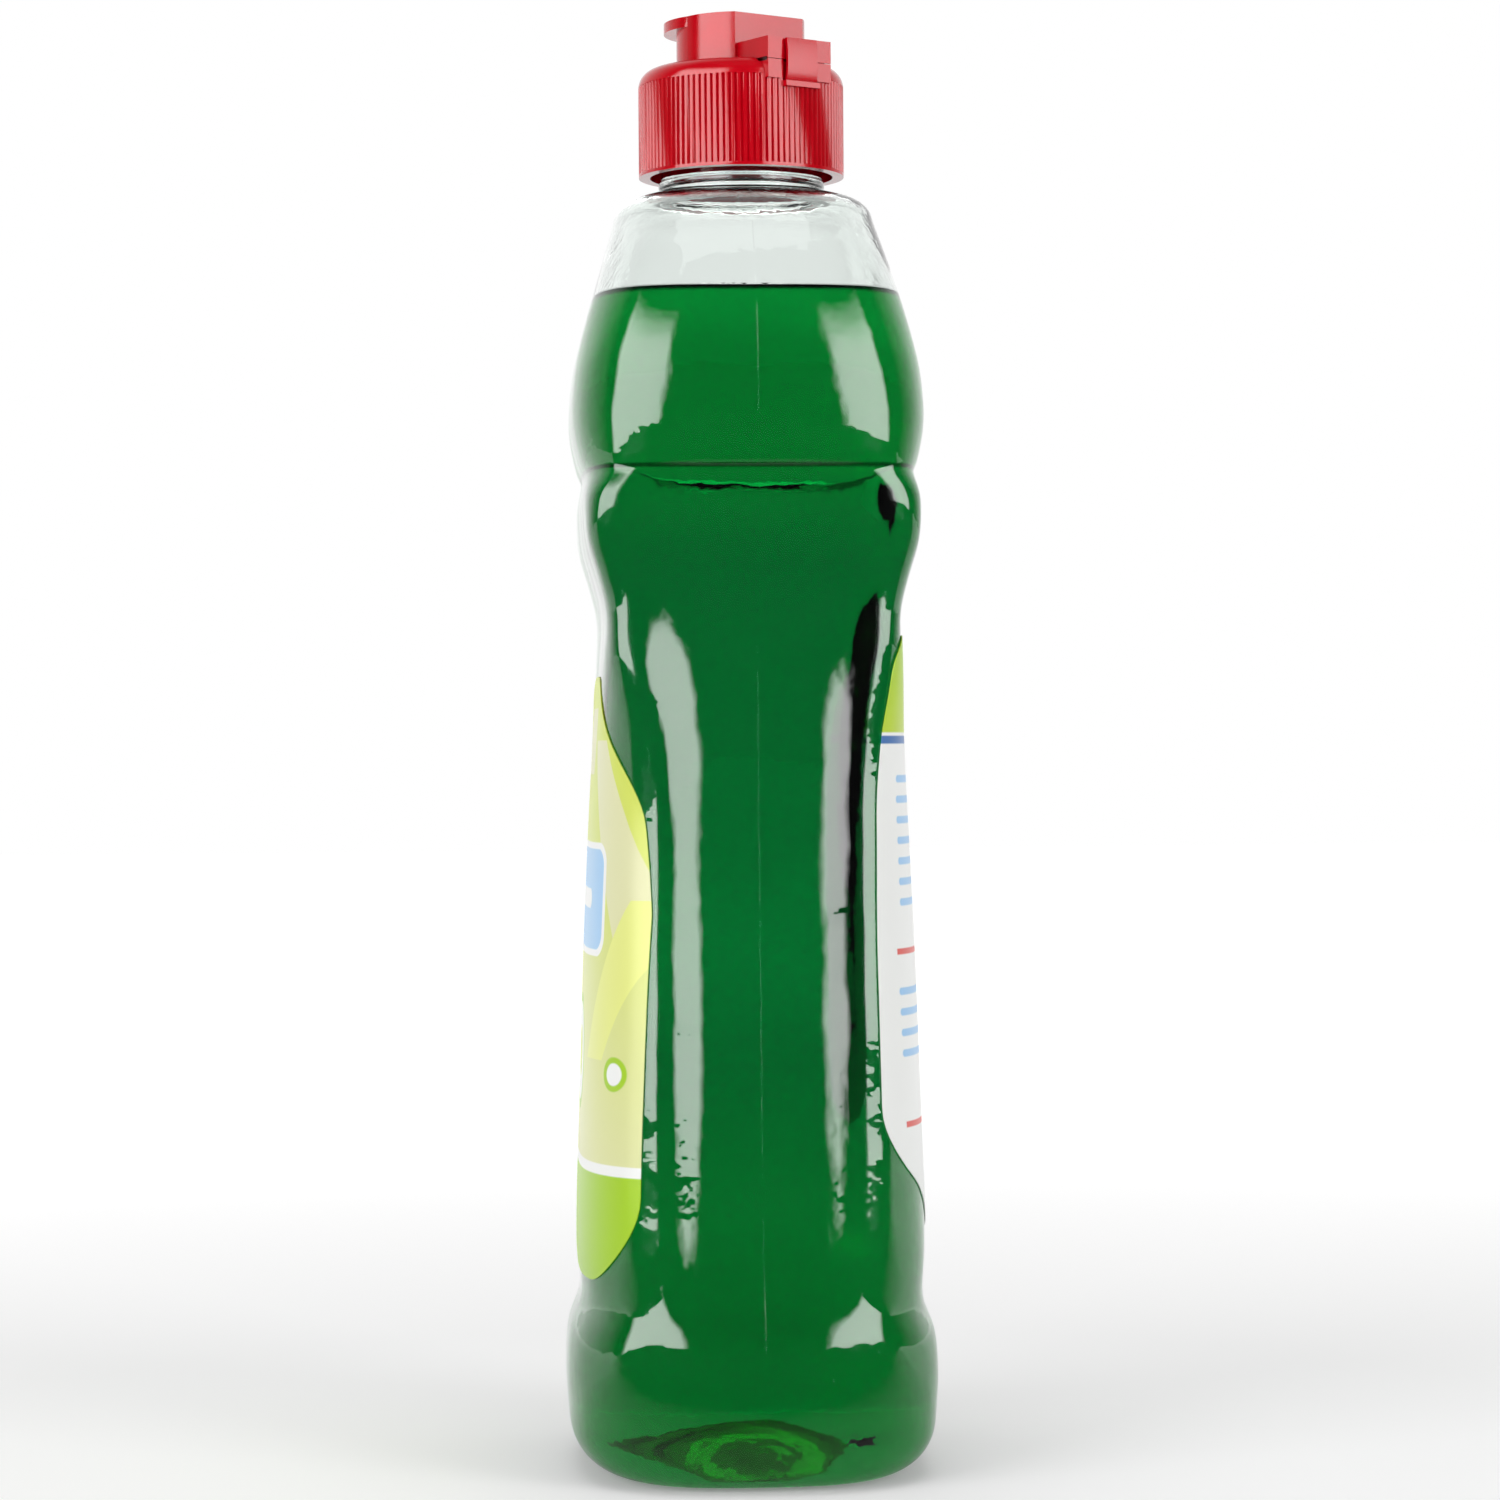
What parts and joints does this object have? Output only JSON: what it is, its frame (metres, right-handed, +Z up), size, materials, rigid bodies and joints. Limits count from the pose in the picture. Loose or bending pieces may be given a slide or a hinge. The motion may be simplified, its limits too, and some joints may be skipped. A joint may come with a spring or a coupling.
{
  "type": "dish soap bottle",
  "caption": "Waisted clear bottle of green liquid detergent with a ribbed screw cap and a flip-top lid on a film hinge.",
  "frame": {"origin": "middle of the base, on the surface that the bottle stands on", "axes": "+Z up along the neck, -Y out of the front label, X along the wide way of the bottle"},
  "size_m": [0.0706, 0.0574, 0.2242],
  "materials": {
    "clear_plastic": "clear blown plastic",
    "detergent": "clear green liquid",
    "front_film": "printed film",
    "back_film": "printed film",
    "red_plastic": "moulded satin",
    "liner_foam": "closed foam"
  },
  "bodies": {
    "bottle": {"bottle": "clear_plastic", "liquid": "detergent", "front_label": "front_film", "back_label": "back_film"},
    "liner": {"sealing_liner": "liner_foam"},
    "cap": {"cap": "red_plastic", "hinge_strap": "red_plastic"},
    "lid": {"lid": "red_plastic"}
  },
  "joints": [
    {"name": "cap_rise", "type": "slide", "parent": "bottle", "child": "liner", "axis": [0, 0, 1], "range_m": [0, 0.0053]},
    {"name": "cap_turn", "type": "hinge", "parent": "liner", "child": "cap", "pos_m": [0, 0, 0.2071], "axis": [0, 0, 1], "range_deg": [0, 450]},
    {"name": "lid_open", "type": "hinge", "parent": "cap", "child": "lid", "pos_m": [0.01354, 0.00814, 0.216], "axis": [-0.515, 0.8572, 0], "range_deg": [0, 135], "deforming": ["hinge_strap"]}
  ],
  "couplings": [
    {"joint": "cap_rise", "follows": "cap_turn", "m_per_rad": 0.0006737}
  ]
}
